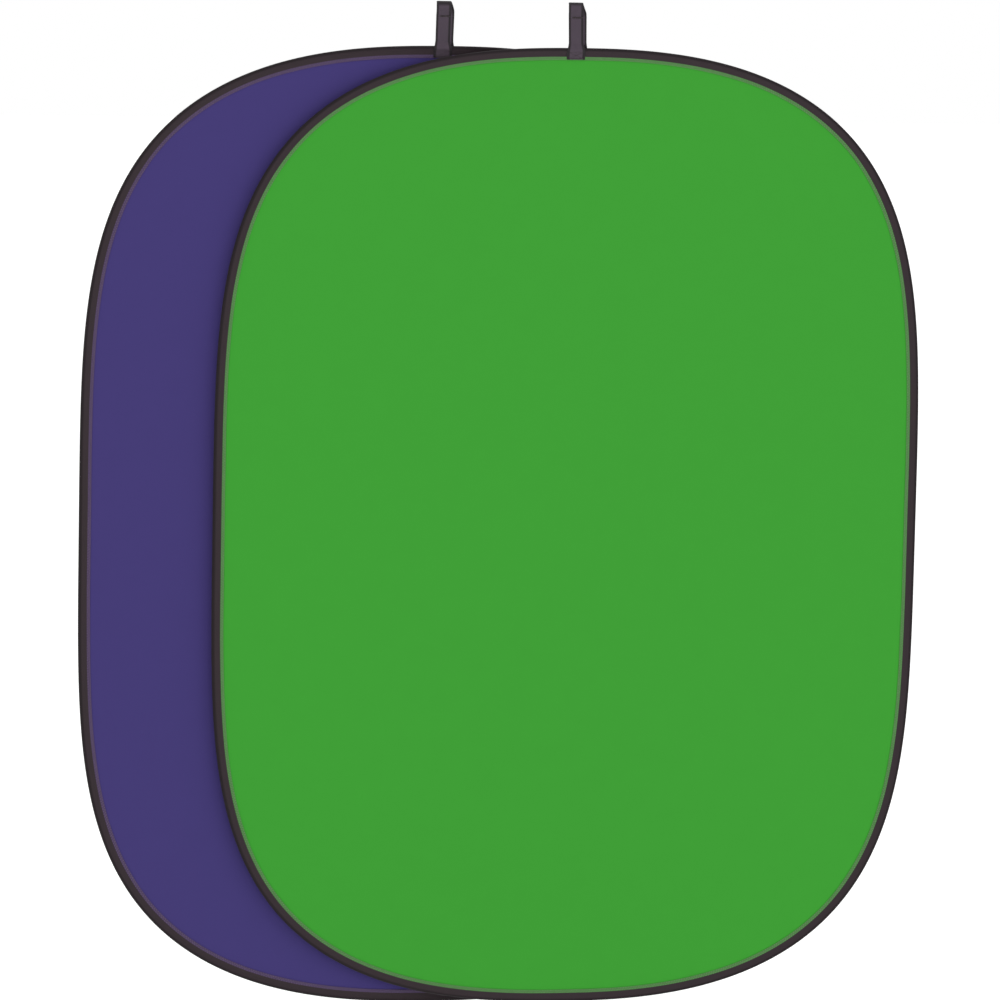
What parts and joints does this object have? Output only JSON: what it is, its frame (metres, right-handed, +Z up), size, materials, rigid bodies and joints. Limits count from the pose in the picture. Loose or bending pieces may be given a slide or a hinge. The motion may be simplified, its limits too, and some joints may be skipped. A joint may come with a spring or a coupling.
{
  "type": "collapsible chroma background pair",
  "caption": "Two reversible green and blue pop-up fabric backgrounds on spring-steel hoops with bound rims, hung by webbing loops one in front of the other.",
  "frame": {"origin": "on the axis of the rail that both webbing loops hang from, at the middle of the front unit's loop", "axes": "+Z up, the front (green) face looks along -Y, +X to the right as seen from the front, along the rail"},
  "size_m": [1.754, 0.035, 2.0926],
  "materials": {
    "green_cloth": "matt brushed chroma-key cloth",
    "blue_cloth": "matt brushed chroma-key cloth",
    "lining": "matt blackout lining",
    "binding_tape": "woven black-brown binding tape, dull sheen",
    "webbing": "woven webbing, dull sheen",
    "spring_steel": "blued spring steel",
    "ferrule_steel": "pressed sheet steel",
    "rivet_alloy": "satin"
  },
  "bodies": {
    "front_loop": {"front_hanging_loop": "webbing"},
    "front_upper": {"front_strap_tab_green_side": "webbing", "front_strap_tab_blue_side": "webbing", "front_hoop_upper": "spring_steel", "front_binding_upper": "binding_tape", "front_green_cloth_upper": "green_cloth", "front_lining_upper": "lining", "front_blue_cloth_upper": "blue_cloth"},
    "front_lower": {"front_hoop_lower_right": "spring_steel", "front_hoop_lower_left": "spring_steel", "front_ferrule": "ferrule_steel", "front_rivet_right": "rivet_alloy", "front_rivet_left": "rivet_alloy", "front_binding_lower": "binding_tape", "front_green_cloth_lower": "green_cloth", "front_lining_lower": "lining", "front_blue_cloth_lower": "blue_cloth"},
    "rear_loop": {"rear_hanging_loop": "webbing"},
    "rear_upper": {"rear_strap_tab_green_side": "webbing", "rear_strap_tab_blue_side": "webbing", "rear_hoop_upper": "spring_steel", "rear_binding_upper": "binding_tape", "rear_green_cloth_upper": "green_cloth", "rear_lining_upper": "lining", "rear_blue_cloth_upper": "blue_cloth"},
    "rear_lower": {"rear_hoop_lower_right": "spring_steel", "rear_hoop_lower_left": "spring_steel", "rear_ferrule": "ferrule_steel", "rear_rivet_right": "rivet_alloy", "rear_rivet_left": "rivet_alloy", "rear_binding_lower": "binding_tape", "rear_green_cloth_lower": "green_cloth", "rear_lining_lower": "lining", "rear_blue_cloth_lower": "blue_cloth"}
  },
  "joints": [
    {"name": "front_swing", "type": "hinge", "parent": "front_loop", "child": "front_upper", "pos_m": [0, -0.01, -0.075], "axis": [-1, 0, 0], "range_deg": [0, 30]},
    {"name": "front_fold", "type": "hinge", "parent": "front_upper", "child": "front_lower", "pos_m": [0, -0.016, -1.082], "axis": [-1, 0, 0], "range_deg": [0, 170], "stiffness_Nm_per_rad": 6},
    {"name": "rear_slide", "type": "slide", "parent": "front_loop", "child": "rear_loop", "axis": [1, 0, 0], "range_m": [-1.24, 0.23]},
    {"name": "rear_swing", "type": "hinge", "parent": "rear_loop", "child": "rear_upper", "pos_m": [-0.274, 0.01, -0.075], "axis": [1, 0, 0], "range_deg": [0, 30]},
    {"name": "rear_fold", "type": "hinge", "parent": "rear_upper", "child": "rear_lower", "pos_m": [-0.274, 0.016, -1.082], "axis": [1, 0, 0], "range_deg": [0, 170], "stiffness_Nm_per_rad": 6}
  ]
}
